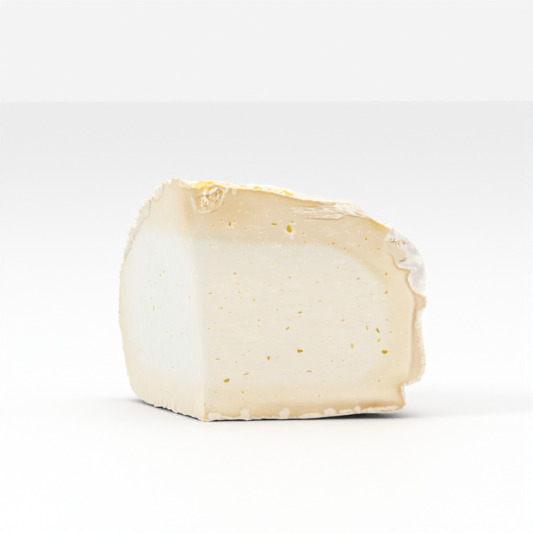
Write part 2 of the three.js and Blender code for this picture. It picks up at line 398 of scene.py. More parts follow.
def zipRows(a, turnsA, b, turnsB):
    # triangles between two rows of different counts
    faces, i, j = [], 0, 0
    while i < len(a) - 1 or j < len(b) - 1:
        stepA = turnsA[i + 1] if i < len(a) - 1 else 9
        stepB = turnsB[j + 1] if j < len(b) - 1 else 9
        if stepA < stepB:
            faces.append((a[i], b[j], a[i + 1]))
            i += 1
        else:
            faces.append((a[i], b[j], b[j + 1]))
            j += 1
    return faces


def buildRind():
    rows, turns, shareOf = [], [], []
    count = 0
    meanRadius = plainTable[:, :, 0].mean(axis=0)
    for share in shares()[1:-1]:
        r = np.interp(share, np.linspace(0, 1, len(meanRadius)), meanRadius)
        row = spread(r * drum["wedgeAngle"], rind["baseCoarser"] if share > 0.72 and r < 50 else 1)
        rows.append(np.arange(count, count + len(row)))
        turns.append(row)
        shareOf.append(np.full(len(row), share))
        count += len(row)
    points, profile, looks = rindPoints(np.concatenate(turns), np.concatenate(shareOf))
    points = np.vstack([points, place(0, 0, drum["edgeHeight"]), place(0, 0, 0)])
    looks = {name: np.append(values, (0, 0)) for name, values in looks.items()}
    looks["section"][-2:] = 1
    looks["under"][-1] = 1
    crown, foot = count, count + 1
    faces = []
    for k in range(len(rows) - 1):
        faces += zipRows(rows[k], turns[k], rows[k + 1], turns[k + 1])
    faces += [(crown, a, b) for a, b in zip(rows[0], rows[0][1:])]
    faces += [(foot, b, a) for a, b in zip(rows[-1], rows[-1][1:])]
    rings = {side: np.array([row[k] for row in rows]) for side, k in (("right", 0), ("left", -1))}
    ends = {side: {"ids": [crown, *ring, foot], "outline": profile[ring]} for side, ring in rings.items()}
    return points, np.array(faces), looks, ends


rindVerts, rindFaces, rindLooks, ends = buildRind()
print(f"rind: {len(rindVerts)} points, {len(rindFaces)} triangles")


# Cut faces, each flattened to (distance from the front edge, height)

paste = {
    "coreHalf": (52.5, 20.2), "coreHeight": 29.4,
    "coreCorners": (20.0, 15.0),  # the chalky core is a box with its upper and lower corners rounded
    "edgeRound": 2.0, "edgeSetBack": 0.608,  # the knife leaves the front edge slightly round
    "latticeStep": 0.25, "fineStep": 0.16, "edgeStep": 0.42,
    "rindStep": 0.34, "frontStep": 0.36, "lumpStep": 0.3, "openStep": 1.3,  # by what the points lie near
    "rippleHeight": 0.05, "waveHeight": 0.22,
    "smallEyes": {"right": 170, "left": 60}, "smallClear": 3.5, "smallZone": ((1.5, 3.0), (56, 62)),
    "eyeDepth": 0.6, "haloWidth": 0.28,
    "eyeRings": [  # size, depth, share of the way in, below 0 on the rim, where a painted highlight catches the lower lip
        (1.18, -0.06, -1.0), (0.98, 0.06, 0.6), (0.84, 0.32, 1.0), (0.52, 0.58, 1.0),
    ],
    "eyeFloor": 0.66,
    "rightEyes": [  # x, height, width, tallness, and tilt in degrees and depth where not 0 and 0.5
        (23.5, 52.1, 1.7, 1.9, 25, 1), (19.4, 53.5, 1.5, 0.7, -8, 0.8), (24.4, 54, 1, 0.5, 0, 0.7),
        (5, 54.7, 1, 0.5, 0, 0.6), (2.8, 53.1, 0.5, 0.9, 0, 0.6), (7.4, 53.6, 0.7, 1.3, 0, 0.8),
        (8.6, 54.2, 0.5, 0.6), (8.7, 55.7, 0.5, 0.7), (11.4, 52.2, 0.8, 0.5), (12.5, 53.3, 0.5, 0.7),
        (16.1, 51.6, 0.7, 0.5), (27.3, 50.9, 1, 0.7, -40, 0.7), (27.9, 48.4, 0.8, 0.5, -30, 0.5),
        (35.7, 48.1, 1, 0.5, 0, 0.7), (34.4, 47.9, 0.5, 0.5), (38.8, 46.6, 0.7, 0.7),
        (44.7, 49.2, 0.7, 1, 0, 0.7), (42.8, 47.3, 0.7, 0.6, 20, 0.5), (48.2, 46.5, 0.8, 0.6, 15, 0.6),
        (46.1, 46.3, 0.5, 0.9), (50.3, 39.6, 0.9, 1.3, 0, 0.65), (42.5, 38.4, 1, 0.5, 0, 0.6),
        (50.3, 34.6, 0.9, 1.1, -25, 0.6), (50.6, 27.1, 0.8, 0.5), (48, 24.2, 1.4, 0.7, -48, 1),
        (45, 25, 0.5, 1.4, 15, 0.55), (51.5, 23.7, 0.7, 0.7, 0, 0.6), (48.3, 21.5, 1, 1.3, 0, 0.6),
        (49.9, 18.3, 1.5, 1.3, 0, 1.2), (40.9, 20.1, 0.8, 1.7, 15, 0.55), (19.1, 42.5, 1, 0.35, 5, 0.4),
        (8.7, 40.2, 0.7, 0.7, 0, 0.6), (9.7, 37.3, 1.5, 0.6, -12, 0.4), (23.8, 39, 0.8, 0.5),
        (31.1, 37.6, 0.9, 0.5), (37, 41.4, 0.6, 0.6), (32, 32.4, 1, 0.5, 0, 0.6),
        (2, 34.9, 1.4, 0.35), (13.9, 32.9, 0.6, 0.8, 0, 0.6), (21.6, 35.5, 1, 0.45, -15, 0.5),
        (26.6, 29.4, 1, 0.7, 30, 0.8), (23.1, 25.1, 1.6, 0.5, 32, 0.8), (15.2, 27.4, 0.7, 0.5),
        (5.1, 30.8, 0.6, 0.8), (38.4, 27.1, 1, 0.5, -10, 0.6), (26.5, 18.9, 1.8, 0.8, -12, 1.3),
        (17.9, 17.1, 0.7, 1.4, 0, 0.8), (4, 17, 1, 0.5, 0, 0.6), (9.1, 16.1, 0.8, 0.5),
        (11.7, 12.8, 1.5, 0.5, 22, 0.6), (29.1, 13.3, 1.9, 0.5, 4, 0.7), (35.4, 16, 0.7, 0.5),
        (6.5, 11.1, 1.5, 1.2, 25, 0.9), (10.8, 7.8, 1, 0.6, 0, 0.6), (25.9, 8.6, 0.7, 0.4, 0, 0.4),
        (31.8, 6.5, 0.6, 0.6), (48.4, 10.4, 0.7, 0.6), (18.2, 36.8, 1.6, 0.32, 28, 0.3),
        (21, 37.1, 0.6, 0.5, 20, 0.4), (23.8, 35.1, 1, 0.4, 0, 0.3), (21.5, 39.3, 0.7, 0.4, 0, 0.3),
        (9.8, 35.1, 0.5, 0.6), (10.3, 33.5, 0.4, 0.6, 20, 0.3), (13.8, 35.9, 0.6, 0.3, 0, 0.3),
        (13.8, 31.8, 0.4, 0.5, 30, 0.3), (15.1, 25.7, 0.8, 0.35, 0, 0.4), (12.1, 35.5, 1.3, 0.3, -35, 0.3),
        (7.3, 29.6, 0.7, 0.35, 0, 0.4), (26.5, 28.2, 0.5, 0.6, -20, 0.4),
    ],
    "leftEyes": [  # the same, from the distance to the front edge
        (24.8, 38.2, 0.9, 0.8, 0, 0.6), (21.7, 39.4, 0.8, 1.2, 0, 0.7), (29.6, 35.6, 0.9, 0.7),
        (3.1, 47.5, 0.6, 1.6, -8, 0.5), (4.3, 33.5, 0.7, 1.1, 15, 0.6), (33.4, 28.3, 1, 2, 18, 0.7),
        (25.1, 22.4, 2, 0.7, 20, 0.5), (21, 21.4, 1.4, 0.7), (13.2, 22.7, 0.8, 0.8),
        (21.9, 12.7, 0.8, 0.6), (27.3, 5.4, 0.7, 0.7, 0, 0.4), (47.1, 15.2, 0.9, 1.1),
    ],
}


def inChunks(measure, points):
    # a few thousand points at a time, to spare memory
    return np.concatenate([measure(chunk) for chunk in np.array_split(points, max(len(points) // 3000, 1))])


def distanceToLine(points, line):
    a, way = line[:-1], np.diff(line, axis=0)
    size = np.maximum((way ** 2).sum(axis=1), 1e-12)

    def nearest(chunk):
        t = np.clip(((chunk[:, None] - a) * way).sum(axis=2) / size, 0, 1)
        gap = chunk[:, None] - (a + way * t[..., None])
        return np.sqrt((gap ** 2).sum(axis=2).min(axis=1))
    return inChunks(nearest, points)


def insideLoop(points, loop):
    a, b = loop, np.roll(loop, -1, axis=0)

    def crossedOddly(chunk):
        x, y = chunk[:, 0:1], chunk[:, 1:2]
        spans = (a[:, 1] > y) != (b[:, 1] > y)
        with np.errstate(divide="ignore", invalid="ignore"):
            cross = a[:, 0] + (y - a[:, 1]) / (b[:, 1] - a[:, 1]) * (b[:, 0] - a[:, 0])
        return (spans & (x < cross)).sum(axis=1) % 2 == 1
    return inChunks(crossedOddly, points)


def coreGap(r, z):
    # distance outside the chalky core, negative within it
    corner = np.where(z > paste["coreHeight"], *paste["coreCorners"])
    dx = np.maximum(r - (paste["coreHalf"][0] - corner), 0)
    dz = np.abs(z - paste["coreHeight"]) - (paste["coreHalf"][1] - corner)
    return np.hypot(dx, np.maximum(dz, 0)) + np.minimum(np.maximum(dx, dz), 0) - corner


def scatterEyes(side, loop, line, listed):
    # small eyes between the listed ones, clear of the rind
    eyes = list(listed)
    tries = 0
    while len(eyes) < len(listed) + paste["smallEyes"][side] and tries < 4000:
        tries += 1
        at = rng.uniform(*paste["smallZone"])
        width = 0.20 + 0.36 * rng.random() ** 2
        wide, tall = width * rng.uniform(1.0, 1.9), width * rng.uniform(0.7, 1.1)
        eye = (*at, wide, tall, rng.normal(0, 22), width * 0.8)
        if not insideLoop(at[None], loop)[0] or distanceToLine(at[None], line)[0] < paste["smallClear"]:
            continue
        nearest = min(math.hypot(at[0] - e[0], at[1] - e[1]) - 0.6 * max(e[2], e[3]) for e in eyes)
        if nearest >= 1.0 + 0.6 * eye[2]:
            eyes.append(eye)
    return eyes


def eyeRings(eye, eyes):
    # the rim, wall and floor of one eye, as rings of (places, depth, share)
    x, z, width, tall, tilt, depth = eye
    deepness = float(np.clip(0.30 + 0.75 * depth + rng.uniform(-0.1, 0.1), 0.35, 1.0))
    depth *= paste["eyeDepth"]
    sides = int(np.clip(round(9 + 5 * max(width, tall)), 9, 18))
    a = np.linspace(0, 2 * math.pi, sides, endpoint=False) + rng.random()
    wobble = 1 + 0.18 * np.sin(2 * a + rng.uniform(0, 6)) + 0.13 * np.sin(3 * a + rng.uniform(0, 6))
    turn = math.radians(tilt)
    space = min(math.hypot(x - e[0], z - e[1]) - 0.77 * (max(e[2:4]) + max(width, tall))
                for e in eyes if e is not eye)
    halo = float(np.clip(space / 2 - 0.02, 0.0, paste["haloWidth"]))
    lit = -np.clip(0.3 - 0.8 * np.sin(a + turn), 0, 1)  # light catches the lower lip

    def ring(size, grown=0):
        u = np.cos(a) * (width / 2 * size * wobble + grown)
        v = np.sin(a) * (tall / 2 * size * wobble + grown)
        return pair(x + u * math.cos(turn) - v * math.sin(turn), z + u * math.sin(turn) + v * math.cos(turn))

    rings = [(ring(paste["eyeRings"][0][0], halo), 0.0, 0.0)] if halo >= 0.06 else []
    for size, down, share in paste["eyeRings"]:
        rings.append((ring(size), down * depth, share * deepness if share >= 0 else lit))
    return rings + [(np.array([[x, z]]), paste["eyeFloor"] * depth, deepness)]


def inFineZone(points):
    x, z = points[:, 0] + leanAt(points[:, 1]), points[:, 1]
    return np.min([inEllipse(x, z, *zone) for zone in marks["fineZones"]], axis=0) < 1.1


def fineLattice(loop, line):
    # closely spaced points over the pocket, the smear and the fold
    step = paste["fineStep"]
    grid = np.stack(np.meshgrid(np.arange(step, 54, step), np.arange(52, 66, step)), -1).reshape(-1, 2)
    grid = grid[inFineZone(grid)]
    grid = grid[insideLoop(grid, loop)]
    grid = grid[distanceToLine(grid, line) > step]
    return grid + rng.uniform(-0.2, 0.2, grid.shape) * step


def detailStep(side, points):
    # closer points over the lumps of rind
    x, z = points.T
    zones = marks["lumps"][side]
    if side == "right":
        x, zones = x + leanAt(z), zones + [marks["droop"]]
    near = np.min([inEllipse(x, z, *zone[:5]) for zone in zones], axis=0) < 1.25
    return np.where(near, paste["lumpStep"], paste["openStep"])


def buildCut(side):
    # flat triangles of one cut face, with the eyes' rings worked in
    line = np.vstack([[0, drum["edgeHeight"]], ends[side]["outline"], [0, 0]])
    edgeHeights = np.arange(0.4, drum["edgeHeight"] - 0.2, paste["edgeStep"])
    loop = np.vstack([line, pair(np.zeros_like(edgeHeights), edgeHeights)])
    eyes = [(*eye, 0, 0.5)[:6] for eye in paste[side + "Eyes"]]
    if side == "right":
        eyes = [(e[0] - float(leanAt(e[1])),) + e[1:] for e in eyes]
    eyes = scatterEyes(side, loop, line, eyes)
    step = paste["latticeStep"]
    lattice = np.indices((int(66 / step), int(67 / step))).reshape(2, -1).T
    points = (lattice + 1) * step
    keep = insideLoop(points, loop)
    lattice, points = lattice[keep], points[keep]
    gap = distanceToLine(points, line)
    # closer points by the rind, by the front edge and over the details
    byRind = mixed(paste["rindStep"], paste["openStep"], rise(gap, 1.5, 8))
    byFront = mixed(paste["frontStep"], paste["openStep"], smooth(points[:, 0] / 4))
    want = np.min([byRind, byFront, detailStep(side, points)], axis=0)
    level = np.where(want < 0.375, 1, np.where(want < 0.8, 2, 4))
    keep = (lattice % level[:, None] == 0).all(axis=1) & (gap > 0.55 * want) & (points[:, 0] > 0.5 * want)
    points, level = points[keep], level[keep]
    points += rng.uniform(-0.18, 0.18, points.shape) * level[:, None] * step
    if side == "right":
        points = np.vstack([points[~inFineZone(points)], fineLattice(loop, line)])
    rings = []
    for eye in eyes:
        group = eyeRings(eye, eyes)
        rings += group
        rim = group[0][0]
        middle = rim.mean(axis=0)
        reach = np.linalg.norm(rim - middle, axis=1).max() + 0.12
        points = points[np.linalg.norm(points - middle, axis=1) > reach]
    parts = [(loop, 0.0, 0.0), (points, 0.0, 0.0)] + rings
    edges, count = [], 0
    for part, _, _ in parts:
        if part is not points and len(part) > 1:
            edges += [(count + k, count + (k + 1) % len(part)) for k in range(len(part))]
        count += len(part)
    flat = np.vstack([part[0] for part in parts])
    down, share = (np.concatenate([np.full(len(part[0]), part[k]) for part in parts]) for k in (1, 2))
    out = delaunay_2d_cdt([Vector(p) for p in flat], edges, [], 1, 1e-6, True)
    known = np.array([ids[0] if ids else -1 for ids in out[3]])
    assert (known >= 0).all(), "crossing rings on the cut face"
    faces = np.array(out[2])
    faces = faces[insideLoop(flat[known][faces].mean(axis=1), loop)]  # not the hull's slivers
    angle = 0 if side == "right" else drum["wedgeAngle"]
    return {"side": side, "angle": angle, "flat": flat[known], "down": down[known], "share": share[known],
            "faces": faces, "known": known, "line": line, "loopSize": len(loop)}


# What the knife did: the torn pocket by the crown, smeared rind, and lumps of rind cut through

marks = {
    "pocketLip": [  # rim of the torn pocket, open at the crown: x from the foot, height
        (6.4, 63.2), (5.4, 60.3), (4.6, 58.5), (2.4, 57.4), (-0.1, 56.7), (-1.7, 57.6), (-2.7, 59.2),
        (-2.8, 60.8),
    ],
    "pocketDepth": 0.6, "pocketRim": 0.2,
    "crumples": [(0.5, 60.3, 3.4, 1.3, 78, 1), (3.9, 61.5, 2.8, 1.7, 38, 0.75)],  # the last is its strength
    "crumpleHeight": 0.15, "crumplePitch": 0.36,
    "lobe": (2.6, 59, 1.9, 1.5, 20),  # a smooth curl of paste inside the pocket
    "droop": (0.9, 64.6, 3.5, 1.2, -2), "droopHeight": 0.7,  # rind hanging over the pocket
    "crumb": (2.7, 62.7, 1.9, 0.8, 42), "bridge": (2.8, 62.9, 1.8, 0.6, 42),  # a crumb of it, free of mould
    "flapHigh": [  # upper and lower edge of the smeared flap, and lower edge of the fold: x, height
        (24, 58), (27.3, 58), (29.7, 57.9), (31.3, 58.1), (33.2, 58.6), (36, 58.4), (40.5, 57.6),
    ],
    "flapLow": [
        (24, 57.2), (25.1, 56.4), (27, 56), (28.6, 55.4), (33.2, 54.9), (36.8, 54.9), (40.5, 56.2),
    ],
    "foldLow": [
        (33.6, 58.6), (36.6, 57.2), (39.5, 55.9), (41.7, 55.6), (44.4, 55.1), (47.2, 54.6), (50.5, 53.2),
    ],
    "paintedShadowLines": [  # painted shadow lines along the edges of the flap and the fold: from x, to x, along which line, how far off it
        (27, 31.6, "flapHigh", 0.1), (36.8, 38.4, "foldLow", -0.15), (39.6, 42.6, "foldLow", -0.15),
        (28, 38.5, "flapLow", -0.2),
    ],
    "fineZones": [(1.7, 61.2, 5.4, 4.9, 60), (32, 56.8, 8.8, 2.3, -4), (42.3, 56.8, 7.8, 2.9, -23)],
    "blush": [  # deeper orange under the rind: x, height, halves, tilt, strength
        (47.4, 53.2, 5.8, 2.4, -38, 1), (30.2, 59.1, 4.6, 1.3, -6, 0.9), (7.1, 62.1, 0.6, 1.5, 0, 0.9),
        (-2, 62, 2.6, 1.7, 40, 0.8), (5.4, 62.6, 2, 1.6, 0, 0.7), (32.7, 58.7, 0.6, 1.4, -8, 1),
        # the first of these is a painted warm glow along the upper front edge
        (-4.2, 57.5, 3.4, 7, 10, 0.55), (6.5, 58, 15, 8, 0, 0.6),
        (0.9, 1.9, 1.2, 2.2, 10, 0.7), (0.2, 4.6, 0.8, 0.9, 0, 0.8),
    ],
    "stains": [  # yellow seeping into the paste: x, height, halves, tilt, strength
        (48.8, 52.9, 4.4, 1.7, -38, 0.24), (10.2, 62.9, 3.8, 0.9, -6, 0.35), (29, 59.9, 2.8, 1, -8, 0.3),
        (0.3, 0.8, 1.2, 1, 0, 0.4), (18, 61.8, 4.5, 0.8, -8, 0.2), (-4.6, 62.6, 1.6, 2.2, 0, 0.2),
    ],
    "lumps": {  # whole rind in the cut: x or distance, height, halves, tilt, strength
        "right": [
            (3.2, 0.9, 2.4, 1.9, -15, 0.9), (1.3, 4.1, 1.1, 0.7, -20, 0.15), (6.2, 1, 2.7, 0.5, -8, 1),
            (11.4, 1.1, 1.6, 2.6, 0, 0.95), (11, 0.3, 2.7, 0.6, 0, 1), (22.3, 1.6, 1.7, 1.9, 0, 0.85),
            (29.6, 1.1, 4, 0.9, 4, 1), (34.8, 2.1, 2, 1.1, 3, 1), (39.2, 2.2, 2.6, 0.55, 4, 1),
            (42.4, 2.7, 1.2, 1, 0, 1), (46.6, 2.5, 3.6, 0.8, 2, 1), (51.3, 2.9, 2.9, 0.7, 4, 1),
            (8.5, 62.5, 0.85, 1.2, 0, 0.65), (6.6, 62.9, 0.5, 1, -20, 0.9), (34, 59.3, 2.4, 0.7, -5, 0.7),
            (-4.6, 64.7, 3, 1.7, -12, 0.85),
        ],
        "left": [(17.6, 61.4, 3.6, 1.9, -24, 0.55), (27.4, 58.6, 3.8, 1.1, -24, 0.9)],
    },
    "lumpRagged": 0.22,
    "sectionThick": {  # how much rind shows in the cut: height, millimetres
        "right": [
            (0, 0.6), (4, 0.5), (10, 0.9), (13, 1.3), (22, 1.3), (28, 0.8), (33, 0.4), (40, 0.3), (45, 0.10),
            (66, 0.12),
        ],
        "left": [(0, 0.45), (6, 0.25), (44, 0.25), (55, 0.5), (60, 0.9), (63, 0.6), (64, 0.35), (66, 0.3)],
    },
    "innerBand": [  # left-hand cut: under side of the loose rind: distance, height
        (7.5, 66.5), (10, 65.1), (11.3, 63.6), (12.4, 61.9), (14.7, 60.3), (19.5, 60), (23, 59.3),
        (25, 57.5), (26, 55.8), (27.5, 54.6), (32.1, 53.3), (35.2, 51.7), (37.5, 50.2), (40.6, 48.6),
        (43.2, 47), (45.1, 45.5), (47.3, 43.9), (50.4, 42.3), (52.3, 40.8), (56, 35.6), (60, 28),
    ],
    "slipLine": [  # where the skin has slipped from the paste: height, x
        (8.5, 55), (12.6, 56.5), (16, 57.2), (25.6, 57.3), (29.1, 57.7), (31.6, 58), (33.5, 57.6),
        (36.3, 56.2), (38.8, 54.8),
    ],
    "ripe": {  # how dark the paste is right under the rind: x or distance, share
        "rightTop": [(-9, 0.30), (-2, 0.55), (8, 0.9), (20, 1), (32, 0.9), (44, 0.9), (51, 0.9), (54, 0.4)],
        "rightBase": [(0, 0.6), (8, 0.75), (20, 0.8), (28, 0.75), (40, 0.8), (52, 0.9), (56, 0.7)],
        "left": [(0, 0.35), (12, 0.16), (62, 0.12)],
    },
    "ochre": [  # strip of deeper colour along the base: x, share
        (6, 0), (15, 0.14), (21, 0.33), (28, 0.28), (33, 0.38), (42, 0.48), (47, 0.95), (50, 0.72),
        (54, 0.4),
    ],
    "ribPitch": 3.2, "ribHeight": 0.18,
    "slipSpan": (9, 5, 40, 5), "paleSpan": (24, 5, 50, 5),  # from, fading in over, to, fading out over
    "flapSpan": (24, 0.5, 41.5, 3), "ribSpan": (3, 4, 50, 6),
}


def atLeast(looks, name, share):
    looks[name] = np.maximum(looks[name], share)


def slipMarks(flat, push, looks):
    # skin that has slipped from the paste at the right
    x, z = flat.T
    off = readOff(marks["slipLine"], z) - x
    fade = window(z, *marks["slipSpan"])
    overOchre = bell(z, 7.2, 1.8) * window(x, *marks["paleSpan"])
    looks["slip"] = fade * smooth(-off / 0.5)
    looks["pale"] = np.maximum(fade * 0.55 * bell(off, 0.45, 0.4), 0.28 * overOchre)
    atLeast(looks, "line", fade * (0.25 + 0.4 * bell(z, 27.5, 4)) * bell(off, -0.5, 0.5))
    push += fade * (0.07 * bell(off, 0.6, 0.5) - 0.10 * bell(off, -0.2, 0.5))


def pocketMarks(flat, push, looks):
    # the pocket torn by the crown: a bowl with a thin lip, crumpled paste in it and crumbs of rind over it
    x, z = flat.T
    lip = np.array(marks["pocketLip"])
    ragged = flat + 0.2 * pair(gradientNoise(flat, 1.7, 42), gradientNoise(flat, 1.7, 62))
    off, inside = distanceToLine(ragged, lip), insideLoop(ragged, lip).astype(float)
    bowl = inside * smooth(off / 1.6) * fall(z, 65.0, 1.5)
    rim = bell(off, 0, 0.3) * smooth(0.75 + 0.8 * gradientNoise(flat, 2.2, 63)) * fall(z, 63.6, 1.0)
    shade = (1 - inside) * bell(off, 0.5, 0.22) * smooth(0.2 + 1.2 * gradientNoise(flat, 2.4, 64)) * (z < 63)
    crumple = strongest(x, z, marks["crumples"], 0.35, 0.3 * layeredNoise(flat, 1.4, 2, 43))
    climb, across = x * 0.79 + z * 0.62, z * 0.79 - x * 0.62  # creases climb to the right
    folds = layeredNoise(pair(climb * 0.34, across), marks["crumplePitch"], 2, 41)
    curl = patch(x, z, marks["lobe"], 0.8) * inside
    push += -marks["pocketDepth"] * bowl + marks["pocketRim"] * rim + 0.4 * curl
    push += crumple * (0.3 + marks["crumpleHeight"] * folds) + bowl * 0.2 * layeredNoise(flat, 1.7, 2, 44)
    white = 0.22 * bell(x, 0.2, 1.2)  # paler on the left of the tear
    looks["torn"], looks["crumple"] = 0.85 * bowl * (1 - 0.5 * curl), crumple
    # the crease share follows the folds of the relief: painted shade in the furrows and painted highlight on
    # the crests, over the crumpled paste's own golden tone
    looks["crease"] = np.clip(0.40 + white + 0.75 * folds + 0.3 * layeredNoise(flat, 1.6, 2, 46), 0, 1)
    looks["rim"] = np.maximum(0.85 * rim, 0.3 * curl)
    atLeast(looks, "line", 0.75 * shade)
    droop = np.maximum(patch(x, z, marks["droop"], 0.4), patch(x, z, marks["crumb"], 0.5))
    push += droop * (marks["droopHeight"] + 0.4 * layeredNoise(pair(climb * 0.5, across), 1.1, 2, 45))
    atLeast(looks, "section", droop)


def flapMarks(flat, push, looks):
    # a thin flap of smeared paste, and a fold of rind over its right-hand end, with painted shadow lines
    # along their edges
    x, z = flat.T
    level = z + 0.14 * gradientNoise(pair(x / 2, z), 1.2, 48)
    flap = past(readOff(marks["flapHigh"], x), level, 0.3) * past(level, readOff(marks["flapLow"], x), 0.3)
    flap *= window(x, *marks["flapSpan"])
    streak = layeredNoise(pair(x / 8, z + 0.12 * x), 0.34, 3, 47)  # nearly level
    push += flap * (0.2 + 0.12 * streak)
    ragged = 1.2 * gradientNoise(pair(x / 3, z), 0.9, 50)
    fold = past(level, readOff(marks["foldLow"], x), 0.3) * rise(x + ragged, 34.6, 2.4) * fall(x, 50.5, 2.2)
    wrinkle = layeredNoise(pair(x / 6, z + 0.40 * x), 0.50, 3, 49)  # falling to the right
    push += fold * (0.4 + 0.17 * wrinkle)
    looks["smear"] = np.maximum(0.92 * flap, fold)
    looks["streak"] = mixed(np.clip(0.40 + 1.05 * streak, 0, 1), np.clip(0.92 + wrinkle, 0, 1), fold)
    looks["section"] *= 1 - flap
    for start, end, name, off in marks["paintedShadowLines"]:
        # a slight groove, darkened with painted shadow
        dark = bell(level - off, readOff(marks[name], x), 0.16) * past(x, start, 0.6) * past(end, x, 0.6)
        atLeast(looks, "line", 0.85 * dark)
        push -= 0.08 * dark


def leftMarks(flat, push, looks):
    # ribs along the base and the loose rind's inner band; gives back the dark line beside the band and the
    # painted shade in the furrows between the ribs
    x, z = flat.T
    ribs = bell(z, 0, 3.6) * window(x, *marks["ribSpan"])
    ribs *= np.clip(0.7 + 1.3 * gradientNoise(flat, 8, 28), 0, 1.3)
    wave = np.sin(2 * math.pi * (x + 0.25 * z) / marks["ribPitch"] + 4.5 * gradientNoise(flat, 6, 29))
    above = z - readOff(marks["innerBand"], x) + 0.3 * gradientNoise(flat, 2.2, 32)
    looks["band"] = smooth(above / 0.5) * rise(z, 34, 10)
    # painted highlight on the ribs' crests, and paler towards the base
    looks["pale"] = 0.35 * ribs * smooth(wave) + 0.3 * fall(z, 15, 9)
    push += marks["ribHeight"] * ribs * wave
    push += looks["band"] * (0.25 + 0.45 * layeredNoise(pair(x / 2.2, z), 1.5, 2, 33))
    # the band's dark inner line, and painted shade in the rib furrows
    return np.maximum(1.3 * bell(above, 0.05, 0.35) * rise(z, 36, 6), 0.9 * ribs * smooth(0.2 - wave))


def ripeRight(x, z):
    # how ripe the right-hand cut is right under the rind
    top, low = (readOff(marks["ripe"][name], x) for name in ("rightTop", "rightBase"))
    ripe = np.where(z > 30, top, low * fall(z, 14, 6))
    ripe = np.where((z > 44) & (x > 48), ripe * 0.5, ripe)
    return np.where((z > 14) & (z < 44), 0.2, ripe)


def cutRelief(cut):
    # push outwards, and how each point of a cut face looks
    r, z = cut["flat"].T
    side = cut["side"]
    right = side == "right"
    x = r + leanAt(z) if right else r
    flat = pair(x, z)
    gap = distanceToLine(cut["flat"], cut["line"])
    rough = 0.5 if right else 0.75
    thick = readOff(marks["sectionThick"][side], z) * (1 + rough * layeredNoise(flat, 1.9, 3, 23))
    under = np.maximum(gap - thick, 0)
    speckle = np.clip(0.85 + 0.9 * layeredNoise(flat, 0.8, 2, 26), 0, 1)
    looks = {name: np.zeros_like(x) for name in ("slip", "pale", "torn", "crumple", "crease", "rim", "smear",
                                                 "mould", "band")}
    looks["streak"] = np.full_like(x, 0.5)
    looks["section"] = past(thick, gap, 0.3) * (speckle if right else 1)
    push = paste["waveHeight"] * gradientNoise(flat, 19, 21 if right else 22) * smooth(gap / 2)
    ripple = pair(x / 9, z) if right else pair(x, z / 9)  # along the way the knife went
    push += paste["rippleHeight"] * layeredNoise(ripple, 1.3, 2, 25) * smooth(gap)
    push += looks["section"] * 0.18 * layeredNoise(flat, 0.9, 2, 24)
    ragged = marks["lumpRagged"] * layeredNoise(flat, 1.1, 2, 27)
    lumpEdge = np.zeros_like(x)
    for zone in marks["lumps"][side]:
        share = inEllipse(x, z, *zone[:5]) + ragged
        lump = fall(share, 1, 0.3)
        push += 0.25 * lump
        lumpEdge = np.maximum(lumpEdge, bell(share, 1.05, 0.14))
        atLeast(looks, "section", mixed(0.6, 0.9, speckle) * zone[5] * lump)
    if right:
        bareRim = rise(x, 48.5, 1) * plateau(z, 47.6, 4.6)  # no rind left along the bare ledge
        looks["section"] *= 1 - bareRim
        ripe = ripeRight(x, z) * (1 - bareRim)
        edgeLine = np.maximum(0.45 * ripe, 0.6 * plateau(z, 39.4, 6.4) * rise(x, 50, 1))
    else:
        ripe = readOff(marks["ripe"]["left"], x)
        edgeLine = 0.45 * ripe
        lumpEdge = np.maximum(lumpEdge, leftMarks(flat, push, looks))
    looks["ripe"] = ripe * np.exp(-under / np.where(z < 8, 1.3, 2.4)) * (1 + 0.3 * gradientNoise(flat, 5, 31))
    looks["line"] = np.maximum(edgeLine * bell(under, 0.3, 0.45), 0.30 * lumpEdge * (1 - looks["section"]))
    # share of the upper part of a cut: its cream and ring are darker there, and on the right its core is
    # painted darker as shade
    looks["high"] = rise(z, 36, 16)
    sag = 1.4 * smooth(r / 20) * rise(z, 34, 8) if right else 0
    looks["coreGap"] = coreGap(r, z + sag) * mixed(0.45, 1.0, looks["high"])
    if right:
        ochre = readOff(marks["ochre"], x) * fall(z, 6.2, 2.6) * (1 + 0.25 * gradientNoise(flat, 4, 34))
        atLeast(looks, "line", ochre)
        for mark in (slipMarks, pocketMarks, flapMarks):
            mark(flat, push, looks)
        looks["mould"] = mouldAt(x, z) * fall(gap, 3.2, 0.8) * (1 - patch(x, z, marks["bridge"], 0.5))
        atLeast(looks, "mould", strongest(x, z, marks["stains"], 0.8))
        atLeast(looks, "ripe", strongest(x, z, marks["blush"], 0.9))
        atLeast(looks, "ripe", 0.28 * bell(looks["coreGap"], 0.9, 0.8) * rise(x, 28, 8) * rise(z, 34, 5))
        # near the front edge the right-hand cut takes half of the left-hand cut's painted key-light colours,
        # so the change across the edge is gradual
        looks["chalk"] = 0.5 - 0.5 * smooth(r / mixed(5.0, 11.0, looks["high"]))
    else:
        looks["coreGap"] += 3.5 * fall(z, 15, 12)
        # a painted warm glow along the upper front edge
        atLeast(looks, "ripe", 0.22 * bell(r, 0, 7) * rise(z, 44, 10))
        # the left-hand cut is painted in cooler, paler copies of the paste's colours, standing in for the
        # cool key lamp from the left; the same share picks the upright knife drags
        looks["chalk"] = 0.5 + 0.5 * smooth(r / 8)
    looks["eye"] = np.maximum(cut["share"], 0)
    # the eyes' lower lips are painted pale as a highlight
    atLeast(looks, "pale", 0.8 * np.maximum(-cut["share"], 0))
    edge = np.clip(1 - r / paste["edgeRound"], 0, 1) ** 2
    return push - cut["down"], edge, looks


cuts = {side: buildCut(side) for side in ("right", "left")}
for side, cut in cuts.items():
    print(f"{side} cut: {len(cut['flat'])} points, {len(cut['faces'])} triangles")


